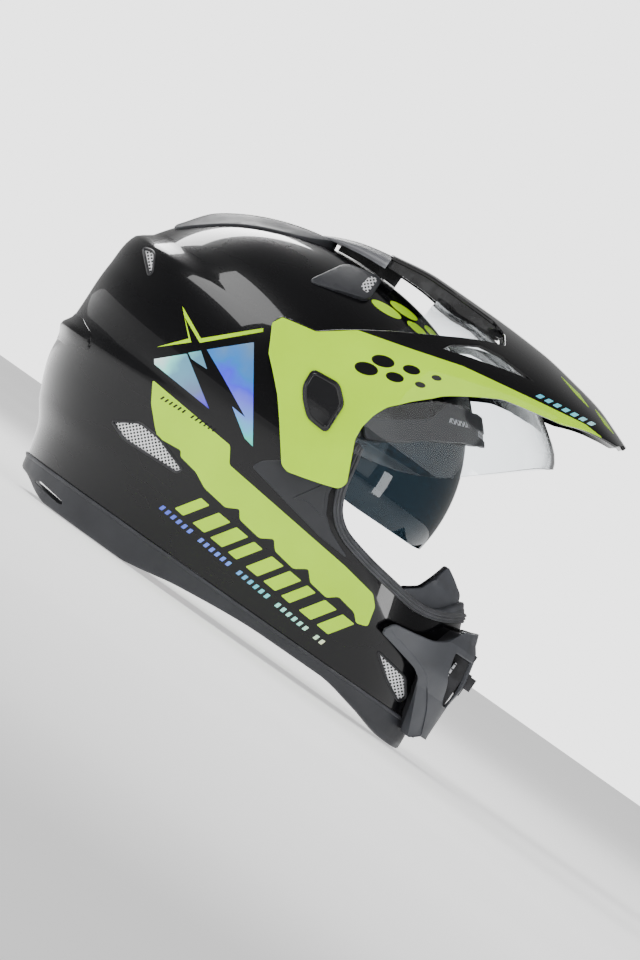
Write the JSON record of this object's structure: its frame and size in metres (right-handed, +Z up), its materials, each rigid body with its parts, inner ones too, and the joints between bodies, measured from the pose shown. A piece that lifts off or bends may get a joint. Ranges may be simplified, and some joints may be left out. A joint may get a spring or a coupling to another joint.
{
  "type": "motocross helmet",
  "caption": "Full-face off-road helmet with tilting peak, clear face shield, inner sun visor, vents, padding and buckled chin strap.",
  "frame": {"origin": "middle of the base of the bounding box, on the resting plane", "axes": "+X forward through the eye port, +Y to the wearer's left, +Z up"},
  "size_m": [0.3556, 0.2632, 0.2674],
  "materials": {
    "shell_gloss": "high gloss clear-coated black shell with printed graphics",
    "foam": "matte expanded foam",
    "liner_cloth": "brushed knit cloth over foam",
    "trim_satin": "satin dark grey moulded plastic",
    "gasket_rubber": "matte ribbed rubber",
    "mesh_metal": "perforated metal mesh",
    "peak_gloss": "high gloss fluorescent yellow and black plastic",
    "fin_satin": "satin grey plastic",
    "cover_satin": "satin black plastic",
    "steel": "brushed steel",
    "clear": "clear hard-coated polycarbonate",
    "tint": "dark tinted polycarbonate",
    "webbing": "woven webbing",
    "lever_red": "gloss red plastic"
  },
  "bodies": {
    "helmet": {"outer_shell": "shell_gloss", "eps_crown": "foam", "eps_chin": "foam", "crown_liner": "liner_cloth", "cheek_pad_right": "liner_cloth", "cheek_pad_left": "liner_cloth", "neck_roll": "liner_cloth", "base_trim": "trim_satin", "eyeport_gasket": "gasket_rubber", "brow_frame": "trim_satin", "brow_mesh": "mesh_metal", "nose_guard": "trim_satin", "chin_cover": "trim_satin", "chin_grille": "mesh_metal", "chin_side_mesh_right": "mesh_metal", "chin_side_mesh_left": "mesh_metal", "rear_vent_right": "mesh_metal", "rear_vent_left": "mesh_metal", "rear_top_mesh_right": "mesh_metal", "rear_top_mesh_left": "mesh_metal", "rear_spoiler": "trim_satin", "top_vent_cover": "trim_satin", "forehead_scoop_right": "trim_satin", "forehead_scoop_left": "trim_satin", "side_trim_right": "trim_satin", "side_trim_left": "trim_satin", "pivot_posts": "steel", "sun_visor_pins": "cover_satin", "chin_curtain": "liner_cloth", "strap_right": "webbing", "strap_left": "webbing", "strap_rivets": "steel", "buckle_body": "steel"},
    "peak": {"peak": "peak_gloss", "peak_fin": "fin_satin", "pivot_cover_right": "cover_satin", "pivot_cover_left": "cover_satin"},
    "shield": {"clear_shield": "clear", "shield_plate_right": "cover_satin", "shield_plate_left": "cover_satin"},
    "visor": {"sun_visor": "tint"},
    "visor_slider": {"sun_visor_slider": "cover_satin"},
    "chin_shutter": {"chin_vent_slider": "cover_satin"},
    "top_shutter": {"top_vent_slider": "cover_satin"},
    "tongue": {"buckle_tongue": "steel"},
    "lever": {"buckle_lever": "lever_red"}
  },
  "joints": [
    {"name": "peak_tilt", "type": "hinge", "parent": "helmet", "child": "peak", "pos_m": [-0.007, 0, 0.158], "axis": [0, 1, 0], "range_deg": [0, 4]},
    {"name": "shield_tilt", "type": "hinge", "parent": "helmet", "child": "shield", "pos_m": [-0.007, 0, 0.158], "axis": [0, 1, 0], "range_deg": [0, 38]},
    {"name": "sun_visor_tilt", "type": "hinge", "parent": "helmet", "child": "visor", "pos_m": [-0.0056, 0, 0.1325], "axis": [0, 1, 0], "range_deg": [-36, 0]},
    {"name": "sun_visor_slide", "type": "slide", "parent": "helmet", "child": "visor_slider", "axis": [1, 0, 0], "range_m": [-0.019, 0]},
    {"name": "chin_vent_slide", "type": "slide", "parent": "helmet", "child": "chin_shutter", "axis": [0, 0, 1], "range_m": [-0.006, 0.006]},
    {"name": "top_vent_slide", "type": "slide", "parent": "helmet", "child": "top_shutter", "axis": [0.8944, 0, 0.4472], "range_m": [0, 0.008]},
    {"name": "buckle_tongue_slide", "type": "slide", "parent": "helmet", "child": "tongue", "axis": [0, 1, 0], "range_m": [0, 0.004]},
    {"name": "buckle_lever_pull", "type": "hinge", "parent": "helmet", "child": "lever", "pos_m": [-0.02, 0.017, 0.0196], "axis": [1, 0, 0], "range_deg": [0, 35], "stiffness_Nm_per_rad": 0.03}
  ],
  "couplings": [
    {"joint": "sun_visor_slide", "follows": "sun_visor_tilt", "m_per_rad": 0.03}
  ]
}
